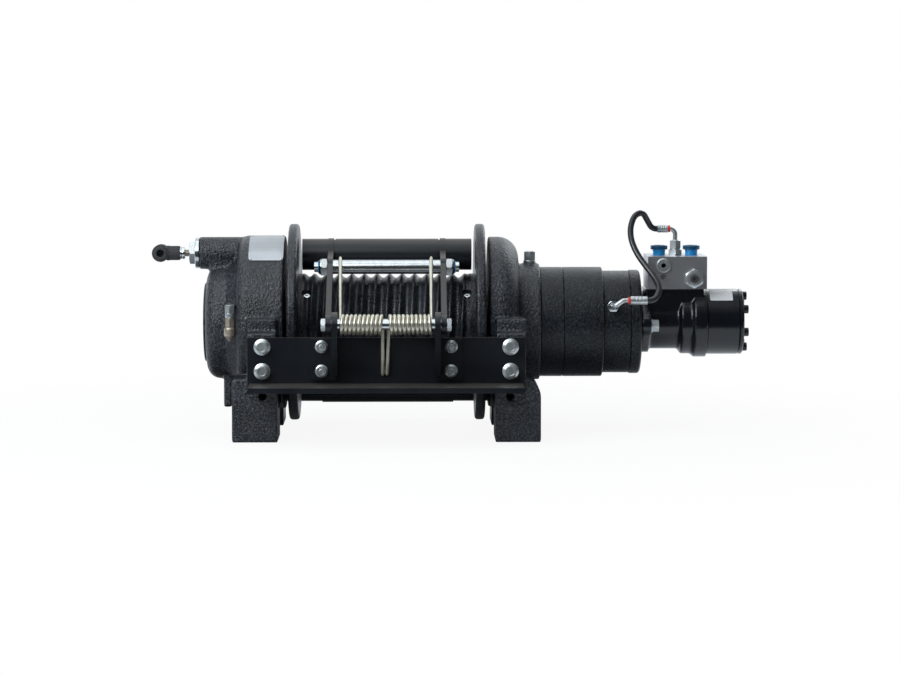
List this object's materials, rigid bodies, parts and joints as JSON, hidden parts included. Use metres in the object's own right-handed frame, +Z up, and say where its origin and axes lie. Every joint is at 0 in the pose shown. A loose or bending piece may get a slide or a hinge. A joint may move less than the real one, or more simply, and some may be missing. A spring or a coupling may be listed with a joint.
{
  "type": "hydraulic drum winch",
  "caption": "Hydraulic drum winch on four cast feet, with grooved drum, brake stack, motor, valve block and a sprung rope tensioner.",
  "frame": {"origin": "centre of the four tapped base holes, on the ground plane under the middle of the drum", "axes": "+X along the drum towards the motor, +Y to the rear away from the front angle bar, +Z up"},
  "size_m": [0.8248, 0.366, 0.3098],
  "materials": {
    "black_drum": "satin black paint on cast steel",
    "black_casting": "satin black paint on rough sand-cast iron",
    "black_paint": "satin black paint on smooth steel",
    "zinc": "bright zinc plate",
    "spring_wire": "yellowish zinc plate on spring wire",
    "brass": "dull brass",
    "block_aluminium": "machined aluminium with fine cutter marks",
    "black_plastic": "semi-matte black moulded plastic",
    "blue_plastic": "glossy blue moulded plastic",
    "hose_rubber": "smooth black hydraulic hose"
  },
  "bodies": {
    "frame": {"gear_housing": "black_casting", "gear_end_cover": "black_paint", "motor_side_housing": "black_casting", "brake_ring": "black_casting", "brake_housing": "black_casting", "brake_cylinder": "black_casting", "motor_adapter": "black_paint", "motor_body": "black_paint", "motor_gear_set": "black_paint", "motor_end_cover": "black_paint", "clutch_plug": "zinc", "clutch_nipple": "brass", "clutch_collar": "zinc", "clutch_elbow": "black_plastic", "relief_elbow": "zinc", "relief_valve": "brass", "top_breather": "zinc", "valve_block": "block_aluminium", "block_plug": "zinc", "block_cartridge": "zinc", "block_adjuster": "black_plastic", "port_cap_left": "blue_plastic", "port_cap_right": "blue_plastic", "hose_adapter": "zinc", "hose_elbow_top": "zinc", "hose_ferrule_top": "zinc", "brake_hose": "hose_rubber", "hose_ferrule_bottom": "zinc", "hose_elbow_bottom": "zinc", "brake_port_nut": "zinc", "front_angle": "black_paint", "rear_tie_rod": "black_paint", "pivot_shaft": "zinc", "tensioner_lug_left": "black_paint", "tensioner_lug_right": "black_paint", "spring_left": "spring_wire", "spring_right": "spring_wire"},
    "drum": {"drum_barrel": "black_drum", "drum_flange_left": "black_drum", "drum_flange_right": "black_drum"},
    "tensioner": {"tensioner_arm_left": "black_paint", "tensioner_arm_right": "black_paint", "press_tube": "black_paint", "cross_rod": "zinc", "rod_nut_left": "zinc", "rod_nut_right": "zinc"}
  },
  "joints": [
    {"name": "drum_spin", "type": "hinge", "parent": "frame", "child": "drum", "pos_m": [0, 0, 0.153], "axis": [1, 0, 0], "continuous": true},
    {"name": "tensioner_swing", "type": "hinge", "parent": "frame", "child": "tensioner", "pos_m": [0, -0.176, 0.163], "axis": [1, 0, 0], "range_deg": [0, 35], "stiffness_Nm_per_rad": 12, "springref_deg": -57.3, "deforming": ["spring_left", "spring_right"]}
  ]
}
